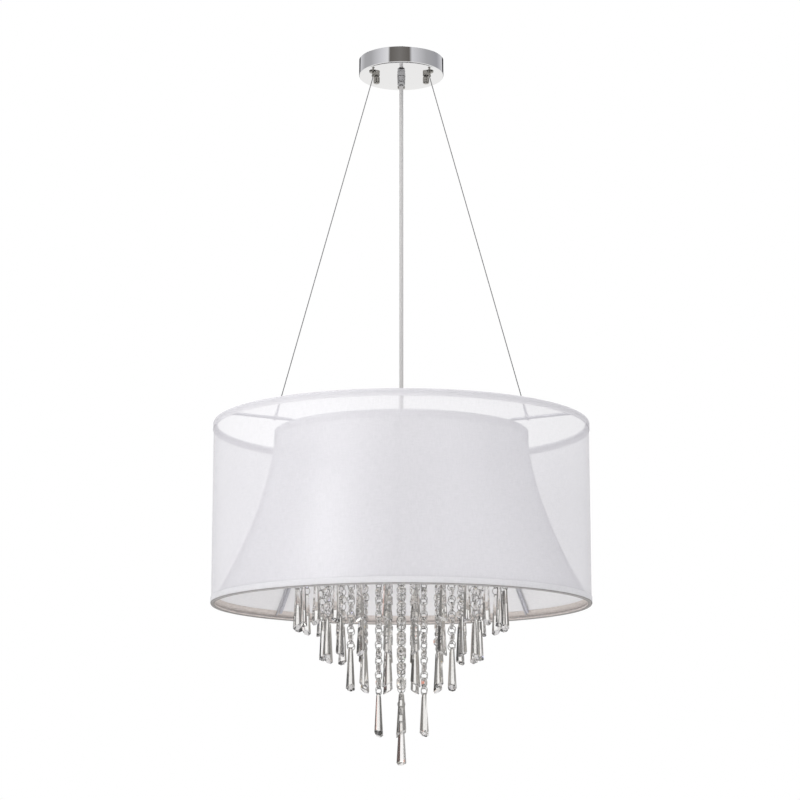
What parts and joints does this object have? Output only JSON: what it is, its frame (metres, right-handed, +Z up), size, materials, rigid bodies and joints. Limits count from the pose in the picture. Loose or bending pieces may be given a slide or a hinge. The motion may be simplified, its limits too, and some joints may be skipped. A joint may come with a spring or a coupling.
{
  "type": "drum chandelier",
  "caption": "Drum chandelier with a sheer drum shade over a white bell shade, hung on steel cables from a chrome canopy, with strands of crystals below.",
  "frame": {"origin": "on the ceiling, at the middle of the mounting strap's top face", "axes": "+Z up, -Y the front that the picture shows, +X to its right"},
  "size_m": [0.5606, 0.5606, 1.0742],
  "materials": {
    "chrome": "polished",
    "zinc_steel": "zinc plated",
    "frame_steel": "satin grey",
    "steel_cable": "stranded steel",
    "white_plastic": "matte",
    "clear_flex": "clear with silvery cores",
    "sheer_fabric": "sheer organza, see-through",
    "shade_fabric": "fine woven, half opaque",
    "trim_fabric": "woven tape",
    "frosted_glass": "frosted",
    "crystal": "cut and polished clear crystal"
  },
  "bodies": {
    "root": {"arm_back": "frame_steel", "arm_left": "frame_steel", "arm_right": "frame_steel", "bottom_ring": "frame_steel", "bottom_tape": "trim_fabric", "cable_gripper_back": "chrome", "cable_gripper_left": "chrome", "cable_gripper_right": "chrome", "cable_hook_back": "steel_cable", "cable_hook_left": "steel_cable", "cable_hook_right": "steel_cable", "canopy": "chrome", "cord_grip": "chrome", "grip_locknut": "zinc_steel", "inner_shade": "shade_fabric", "inner_top_ring": "frame_steel", "lamp_hub": "white_plastic", "lampholder_front": "white_plastic", "lampholder_left": "white_plastic", "lampholder_right": "white_plastic", "mounting_strap": "zinc_steel", "outer_shade": "sheer_fabric", "outer_top_ring": "frame_steel", "power_cord": "clear_flex", "rib_back_left": "frame_steel", "rib_back_right": "frame_steel", "rib_front_left": "frame_steel", "rib_front_right": "frame_steel", "strand_frame": "frame_steel", "strand_ring_fourth": "crystal", "strand_ring_third": "crystal", "suspension_cable_back": "steel_cable", "suspension_cable_left": "steel_cable", "suspension_cable_right": "steel_cable", "terminal_block": "white_plastic", "top_tape": "trim_fabric"},
    "strand_middle": {"strand_middle": "crystal"},
    "strand_first_01": {"strand_first_01": "crystal"},
    "strand_first_02": {"strand_first_02": "crystal"},
    "strand_first_03": {"strand_first_03": "crystal"},
    "strand_first_04": {"strand_first_04": "crystal"},
    "strand_first_05": {"strand_first_05": "crystal"},
    "strand_first_06": {"strand_first_06": "crystal"},
    "strand_second_01": {"strand_second_01": "crystal"},
    "strand_second_02": {"strand_second_02": "crystal"},
    "strand_second_03": {"strand_second_03": "crystal"},
    "strand_second_04": {"strand_second_04": "crystal"},
    "strand_second_05": {"strand_second_05": "crystal"},
    "strand_second_06": {"strand_second_06": "crystal"},
    "strand_second_07": {"strand_second_07": "crystal"},
    "strand_second_08": {"strand_second_08": "crystal"},
    "strand_second_09": {"strand_second_09": "crystal"},
    "strand_second_10": {"strand_second_10": "crystal"},
    "strand_second_11": {"strand_second_11": "crystal"},
    "strand_second_12": {"strand_second_12": "crystal"},
    "knurled_nut_left": {"knurled_nut_left": "chrome"},
    "knurled_nut_right": {"knurled_nut_right": "chrome"},
    "bulb_front": {"bulb_front": "frosted_glass"},
    "bulb_left": {"bulb_left": "frosted_glass"},
    "bulb_right": {"bulb_right": "frosted_glass"}
  },
  "joints": [
    {"name": "swing_middle", "type": "hinge", "parent": "root", "child": "strand_middle", "pos_m": [0, 0, -0.7842], "axis": [0, -1, 0], "range_deg": [-3, 3]},
    {"name": "swing_first_01", "type": "hinge", "parent": "root", "child": "strand_first_01", "pos_m": [0.03317, 0.01915, -0.7872], "axis": [0.5, -0.866, 0], "range_deg": [-3, 3]},
    {"name": "swing_first_02", "type": "hinge", "parent": "root", "child": "strand_first_02", "pos_m": [0, 0.0383, -0.7872], "axis": [1, 0, 0], "range_deg": [-3, 3]},
    {"name": "swing_first_03", "type": "hinge", "parent": "root", "child": "strand_first_03", "pos_m": [-0.03317, 0.01915, -0.7872], "axis": [0.5, 0.866, 0], "range_deg": [-3, 3]},
    {"name": "swing_first_04", "type": "hinge", "parent": "root", "child": "strand_first_04", "pos_m": [-0.03317, -0.01915, -0.7872], "axis": [-0.5, 0.866, 0], "range_deg": [-3, 3]},
    {"name": "swing_first_05", "type": "hinge", "parent": "root", "child": "strand_first_05", "pos_m": [0, -0.0383, -0.7872], "axis": [-1, 0, 0], "range_deg": [-3, 3]},
    {"name": "swing_first_06", "type": "hinge", "parent": "root", "child": "strand_first_06", "pos_m": [0.03317, -0.01915, -0.7872], "axis": [-0.5, -0.866, 0], "range_deg": [-3, 3]},
    {"name": "swing_second_01", "type": "hinge", "parent": "root", "child": "strand_second_01", "pos_m": [0.07399, 0.01983, -0.7872], "axis": [0.2588, -0.9659, 0], "range_deg": [-3, 3]},
    {"name": "swing_second_02", "type": "hinge", "parent": "root", "child": "strand_second_02", "pos_m": [0.05416, 0.05416, -0.7872], "axis": [0.7071, -0.7071, 0], "range_deg": [-3, 3]},
    {"name": "swing_second_03", "type": "hinge", "parent": "root", "child": "strand_second_03", "pos_m": [0.01983, 0.07399, -0.7872], "axis": [0.9659, -0.2588, 0], "range_deg": [-3, 3]},
    {"name": "swing_second_04", "type": "hinge", "parent": "root", "child": "strand_second_04", "pos_m": [-0.01983, 0.07399, -0.7872], "axis": [0.9659, 0.2588, 0], "range_deg": [-3, 3]},
    {"name": "swing_second_05", "type": "hinge", "parent": "root", "child": "strand_second_05", "pos_m": [-0.05416, 0.05416, -0.7872], "axis": [0.7071, 0.7071, 0], "range_deg": [-3, 3]},
    {"name": "swing_second_06", "type": "hinge", "parent": "root", "child": "strand_second_06", "pos_m": [-0.07399, 0.01983, -0.7872], "axis": [0.2588, 0.9659, 0], "range_deg": [-3, 3]},
    {"name": "swing_second_07", "type": "hinge", "parent": "root", "child": "strand_second_07", "pos_m": [-0.07399, -0.01983, -0.7872], "axis": [-0.2588, 0.9659, 0], "range_deg": [-3, 3]},
    {"name": "swing_second_08", "type": "hinge", "parent": "root", "child": "strand_second_08", "pos_m": [-0.05416, -0.05416, -0.7872], "axis": [-0.7071, 0.7071, 0], "range_deg": [-3, 3]},
    {"name": "swing_second_09", "type": "hinge", "parent": "root", "child": "strand_second_09", "pos_m": [-0.01983, -0.07399, -0.7872], "axis": [-0.9659, 0.2588, 0], "range_deg": [-3, 3]},
    {"name": "swing_second_10", "type": "hinge", "parent": "root", "child": "strand_second_10", "pos_m": [0.01983, -0.07399, -0.7872], "axis": [-0.9659, -0.2588, 0], "range_deg": [-3, 3]},
    {"name": "swing_second_11", "type": "hinge", "parent": "root", "child": "strand_second_11", "pos_m": [0.05416, -0.05416, -0.7872], "axis": [-0.7071, -0.7071, 0], "range_deg": [-3, 3]},
    {"name": "swing_second_12", "type": "hinge", "parent": "root", "child": "strand_second_12", "pos_m": [0.07399, -0.01983, -0.7872], "axis": [-0.2588, -0.9659, 0], "range_deg": [-3, 3]},
    {"name": "turn_nut_left", "type": "hinge", "parent": "root", "child": "knurled_nut_left", "pos_m": [-0.038, 0, -0.026], "axis": [0, 0, 1], "continuous": true},
    {"name": "turn_nut_right", "type": "hinge", "parent": "root", "child": "knurled_nut_right", "pos_m": [0.038, 0, -0.026], "axis": [0, 0, 1], "continuous": true},
    {"name": "unscrew_bulb_front", "type": "hinge", "parent": "root", "child": "bulb_front", "pos_m": [0, -0.02125, -0.65255], "axis": [0, -1, 0], "continuous": true},
    {"name": "unscrew_bulb_right", "type": "hinge", "parent": "root", "child": "bulb_right", "pos_m": [0.0184, 0.01063, -0.65255], "axis": [0.866, 0.5, 0], "continuous": true},
    {"name": "unscrew_bulb_left", "type": "hinge", "parent": "root", "child": "bulb_left", "pos_m": [-0.0184, 0.01063, -0.65255], "axis": [-0.866, 0.5, 0], "continuous": true}
  ]
}
